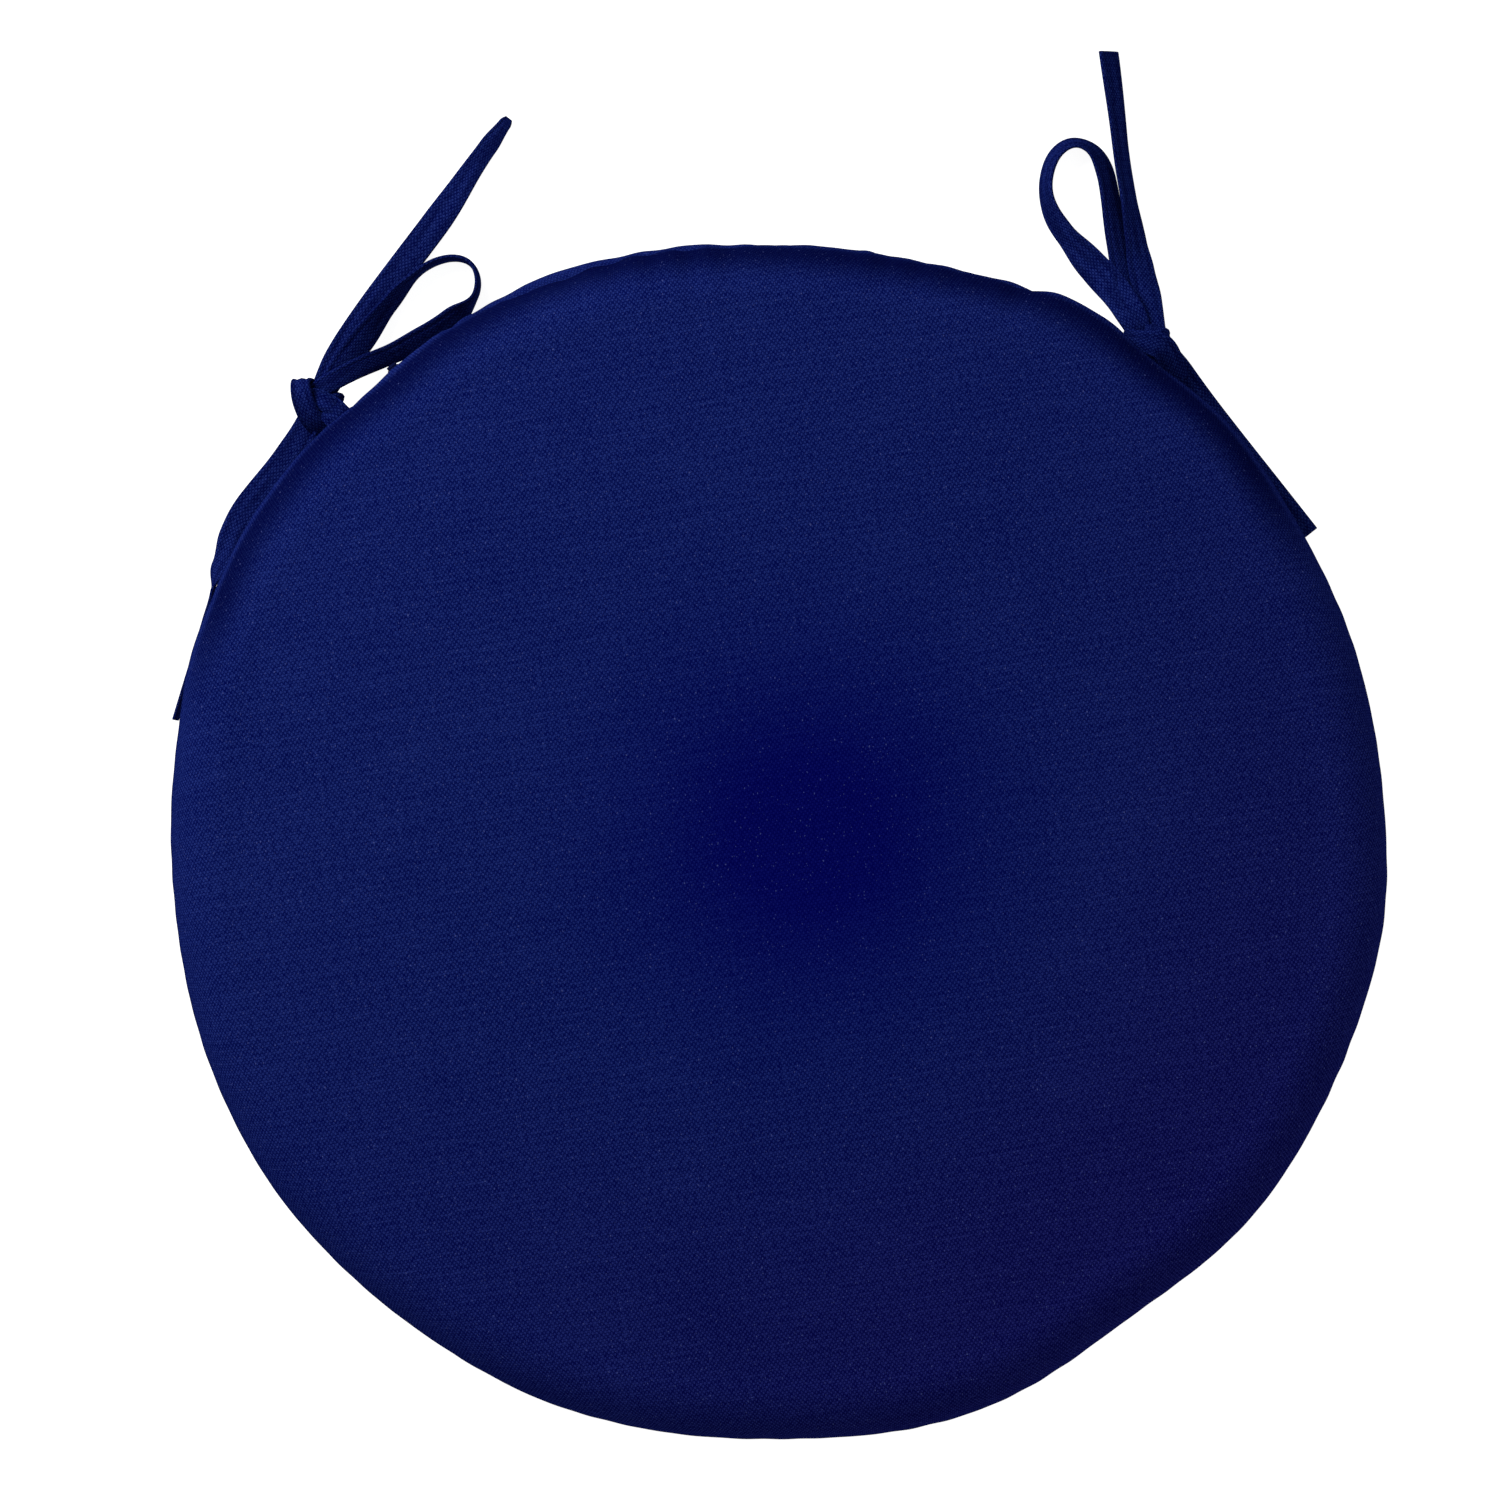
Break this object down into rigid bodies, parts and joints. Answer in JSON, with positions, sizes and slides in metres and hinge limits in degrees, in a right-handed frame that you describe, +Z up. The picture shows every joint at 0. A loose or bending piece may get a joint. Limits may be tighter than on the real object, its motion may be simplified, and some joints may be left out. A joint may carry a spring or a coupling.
{
  "type": "round tie-on seat cushion",
  "caption": "Round knife-edge seat cushion in navy woven cloth, foam and batting inside, with a concealed zipper and tie straps in half bows at the back.",
  "frame": {"origin": "middle of the flat underside, on the surface that the cushion rests on", "axes": "+Z up; +Y to the back of the cushion, half way between the two ties; +X to the right seen from above with the back at the top"},
  "size_m": [0.4, 0.4562, 0.05],
  "materials": {
    "navy_cloth": "matte",
    "strap_cloth": "matte",
    "thread": "satin",
    "zipper_tape": "matte",
    "zipper_coil": "satin",
    "zipper_metal": "satin",
    "foam": "matte",
    "batting": "matte"
  },
  "bodies": {
    "cushion": {"cover_top_panel": "navy_cloth", "cover_bottom_panel": "navy_cloth", "foam_core": "foam", "batting_top": "batting", "batting_bottom": "batting", "seam_needle_thread": "thread", "seam_bobbin_thread": "thread", "zipper_tape_upper": "zipper_tape", "zipper_tape_lower": "zipper_tape", "zipper_coil_upper": "zipper_coil", "zipper_coil_lower": "zipper_coil", "zipper_stitches_upper": "thread", "zipper_stitches_lower": "thread", "zipper_stop_left": "zipper_coil", "zipper_stop_right": "zipper_coil", "tie_left_sewn_end": "strap_cloth", "tie_left_bartack": "thread", "tie_right_sewn_end": "strap_cloth", "tie_right_bartack": "thread"},
    "left_tie": {"tie_left_knot": "strap_cloth", "tie_left_end": "strap_cloth", "tie_left_loop": "strap_cloth", "tie_left_tail": "strap_cloth"},
    "right_tie": {"tie_right_knot": "strap_cloth", "tie_right_end": "strap_cloth", "tie_right_loop": "strap_cloth", "tie_right_tail": "strap_cloth"},
    "slider": {"zipper_slider": "zipper_metal"},
    "pull": {"zipper_pull": "zipper_metal"}
  },
  "joints": [
    {"name": "left_tie_swing", "type": "hinge", "parent": "cushion", "child": "left_tie", "pos_m": [-0.13451, 0.15204, 0.0228], "axis": [0.749, 0.6626, 0], "range_deg": [0, 90]},
    {"name": "right_tie_swing", "type": "hinge", "parent": "cushion", "child": "right_tie", "pos_m": [0.13451, 0.15204, 0.0228], "axis": [0.749, -0.6626, 0], "range_deg": [0, 90]},
    {"name": "zipper_travel", "type": "hinge", "parent": "cushion", "child": "slider", "pos_m": [0, 0, 0.022], "axis": [0, 0, 1], "range_deg": [-69.33, 0]},
    {"name": "pull_swing", "type": "hinge", "parent": "slider", "child": "pull", "pos_m": [-0.11476, 0.16593, 0.022], "axis": [-0.5688, 0.8225, 0], "range_deg": [-90, 90]}
  ]
}
